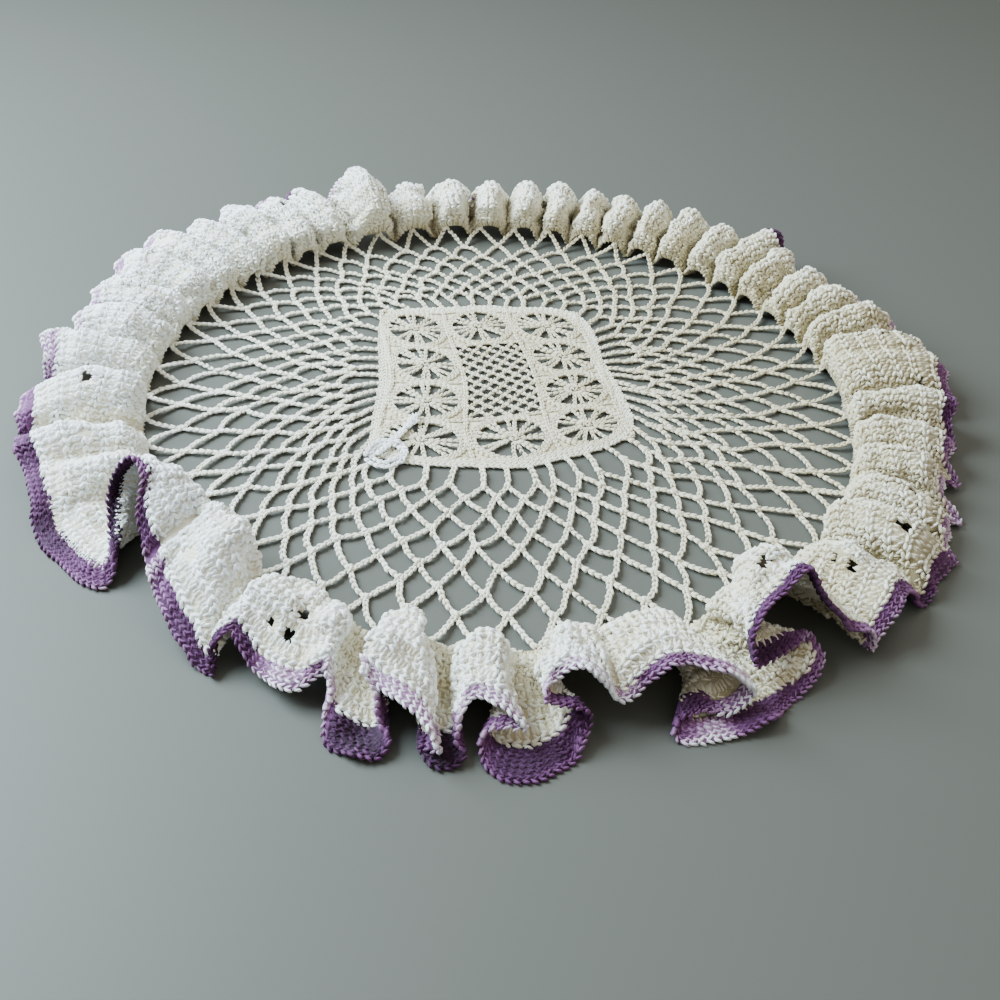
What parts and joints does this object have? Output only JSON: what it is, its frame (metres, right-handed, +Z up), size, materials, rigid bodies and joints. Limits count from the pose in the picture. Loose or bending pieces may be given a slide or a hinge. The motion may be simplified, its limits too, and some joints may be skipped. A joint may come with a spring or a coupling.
{
  "type": "crocheted lace doily with a ruffled border",
  "caption": "Round crocheted lace doily: a flat chain net round an oblong flower panel, with a standing ruffle and a narrow coloured edging.",
  "frame": {"origin": "on the table under the middle of the round net, at the net's underside", "axes": "+Z up out of the table, -Y towards the ruffle's tall front-left fold and its wavy front, +X to the right"},
  "size_m": [0.3997, 0.3917, 0.0389],
  "materials": {
    "white_cotton": "matt twisted cotton yarn, off-white",
    "purple_cotton": "matt cotton yarn dyed from dark plum to pale lilac"
  },
  "bodies": {
    "root": {"net": "white_cotton", "ruffle": "white_cotton", "edging": "purple_cotton"}
  },
  "joints": []
}
